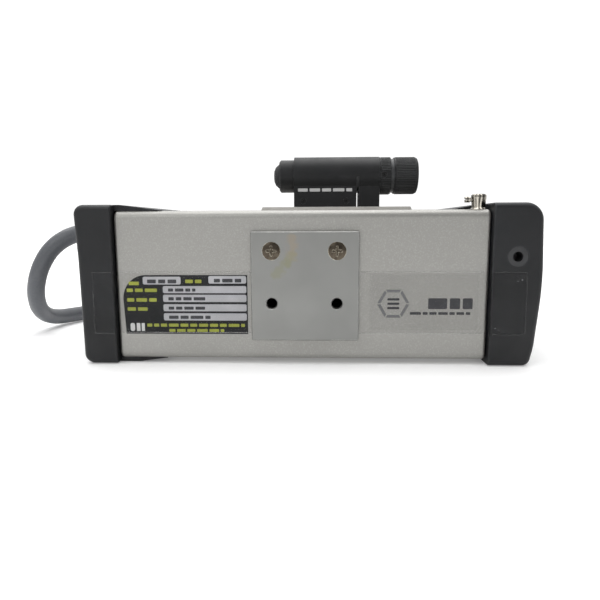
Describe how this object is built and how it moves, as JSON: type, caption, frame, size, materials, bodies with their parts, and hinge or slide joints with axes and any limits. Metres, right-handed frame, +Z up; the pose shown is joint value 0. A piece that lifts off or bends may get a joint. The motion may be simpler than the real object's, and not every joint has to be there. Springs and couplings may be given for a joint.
{
  "type": "laser speed gun",
  "caption": "Box-shaped laser speed and distance sensor with rubber bumpers, a clamp-on aiming pointer, a side bracket plate and a coiled lead.",
  "frame": {"origin": "on the surface it stands on, under the middle of the box (without the lead)", "axes": "+X the way the optics look, +Z up, +Y away from the side that carries the bracket plate"},
  "size_m": [0.2584, 0.2537, 0.0956],
  "materials": {
    "adapter": "milled",
    "anodised": "fine bead-blasted, clear anodised",
    "barrel": "matt black anodised",
    "black_steel": "black oxide",
    "boot": "moulded",
    "brass": "turned",
    "bumper": "matt moulded rubber with a slight sheen",
    "button": "matt",
    "cable": "smooth grey PVC jacket",
    "chassis": "sheet",
    "circuit": "solder mask",
    "dark_metal": "blackened",
    "film": "clear adhesive film",
    "gland": "nickel plated",
    "label": "printed film with pale fields",
    "lens": "coated optical glass",
    "nickel": "nickel plated",
    "panel": "black anodised",
    "plate": "worn, dull",
    "plate_screw": "tarnished zinc plate",
    "plug_metal": "satin nickel",
    "plug_plastic": "moulded",
    "pointer": "matt black anodised",
    "pointer_barrel": "dark grey anodised",
    "ribbon": "flat cable",
    "seal": "matt",
    "steel": "machined",
    "tie": "hook and loop band"
  },
  "bodies": {
    "case": {"housing_tube": "anodised", "front_bumper": "bumper", "rear_bumper": "bumper", "bumper_bush": "dark_metal", "front_panel": "panel", "rear_panel": "panel", "panel_gaskets": "seal", "panel_screws": "steel", "rx_barrel": "barrel", "tx_barrel": "barrel", "rx_lens": "lens", "tx_lens": "lens", "rx_lens_ring": "barrel", "tx_lens_ring": "barrel", "receiver_board": "circuit", "laser_diode_board": "circuit", "chassis_plate": "chassis", "main_board": "circuit", "power_board": "circuit", "board_standoffs": "brass", "board_screws": "steel", "signal_ribbon": "ribbon", "inner_lead": "cable", "gland_body": "gland", "gland_seal": "seal", "gland_nut": "gland", "strain_boot": "boot", "cable_run": "cable", "cable_coil": "cable", "cable_end": "cable", "cable_ties": "tie", "plug_shell": "plug_metal", "plug_insert": "plug_plastic", "plug_pins": "brass", "mounting_plate": "plate", "plate_screws": "plate_screw", "rating_label": "label", "maker_label": "film", "clear_film": "film", "adapter_plate": "adapter", "adapter_screws": "steel", "pointer_clamp": "pointer", "pointer_barrel": "pointer_barrel", "adjust_ring": "pointer", "tail_cap": "pointer", "button_spring": "steel", "coin_cells": "nickel", "clamp_post": "nickel"},
    "tail_button": {"tail_button": "button"},
    "pointer_head": {"pointer_head": "pointer", "pointer_window": "lens"},
    "tilt_carrier": {"pivot_ring": "seal"},
    "laser_module": {"laser_module": "brass", "module_lens": "lens"},
    "windage_screw": {"windage_screw": "black_steel"},
    "elevation_screw": {"elevation_screw": "black_steel"},
    "clamp_screw_rear": {"clamp_screw_rear": "black_steel"},
    "clamp_screw_front": {"clamp_screw_front": "black_steel"},
    "post_screw": {"post_screw": "nickel"},
    "coupling_ring": {"coupling_ring": "plug_metal"}
  },
  "joints": [
    {"name": "button_press", "type": "slide", "parent": "case", "child": "tail_button", "axis": [1, 0, 0], "range_m": [0, 0.0015], "stiffness_N_per_m": 700, "springref_m": -0.0008, "deforming": ["button_spring"]},
    {"name": "head_turn", "type": "hinge", "parent": "case", "child": "pointer_head", "pos_m": [0.05, 0, 0.0858], "axis": [1, 0, 0], "range_deg": [-180, 180]},
    {"name": "windage_tilt", "type": "hinge", "parent": "case", "child": "tilt_carrier", "pos_m": [0.02, 0, 0.0858], "axis": [0, 0, 1], "range_deg": [-0.7, 0.7]},
    {"name": "elevation_tilt", "type": "hinge", "parent": "tilt_carrier", "child": "laser_module", "pos_m": [0.02, 0, 0.0858], "axis": [0, 1, 0], "range_deg": [-0.7, 0.7]},
    {"name": "windage_turn", "type": "hinge", "parent": "case", "child": "windage_screw", "pos_m": [0.0382, -0.0092, 0.0858], "axis": [0, -1, 0], "range_deg": [-110, 110]},
    {"name": "elevation_turn", "type": "hinge", "parent": "case", "child": "elevation_screw", "pos_m": [0.0382, 0, 0.095], "axis": [0, 0, 1], "range_deg": [-110, 110]},
    {"name": "clamp_rear_turn", "type": "hinge", "parent": "case", "child": "clamp_screw_rear", "pos_m": [-0.0032, -0.0078, 0.0727], "axis": [0, -1, 0], "range_deg": [-180, 180]},
    {"name": "clamp_front_turn", "type": "hinge", "parent": "case", "child": "clamp_screw_front", "pos_m": [0.019, -0.0078, 0.0727], "axis": [0, -1, 0], "range_deg": [-180, 180]},
    {"name": "post_screw_turn", "type": "hinge", "parent": "case", "child": "post_screw", "pos_m": [0.069, -0.056, 0.0709], "axis": [-1, 0, 0], "range_deg": [-180, 180]},
    {"name": "coupling_turn", "type": "hinge", "parent": "case", "child": "coupling_ring", "pos_m": [0.076, 0.0815, 0.0083], "axis": [1, 0, 0], "continuous": true}
  ],
  "couplings": [
    {"joint": "windage_turn", "follows": "windage_tilt", "ratio": 150},
    {"joint": "elevation_turn", "follows": "elevation_tilt", "ratio": 150}
  ]
}
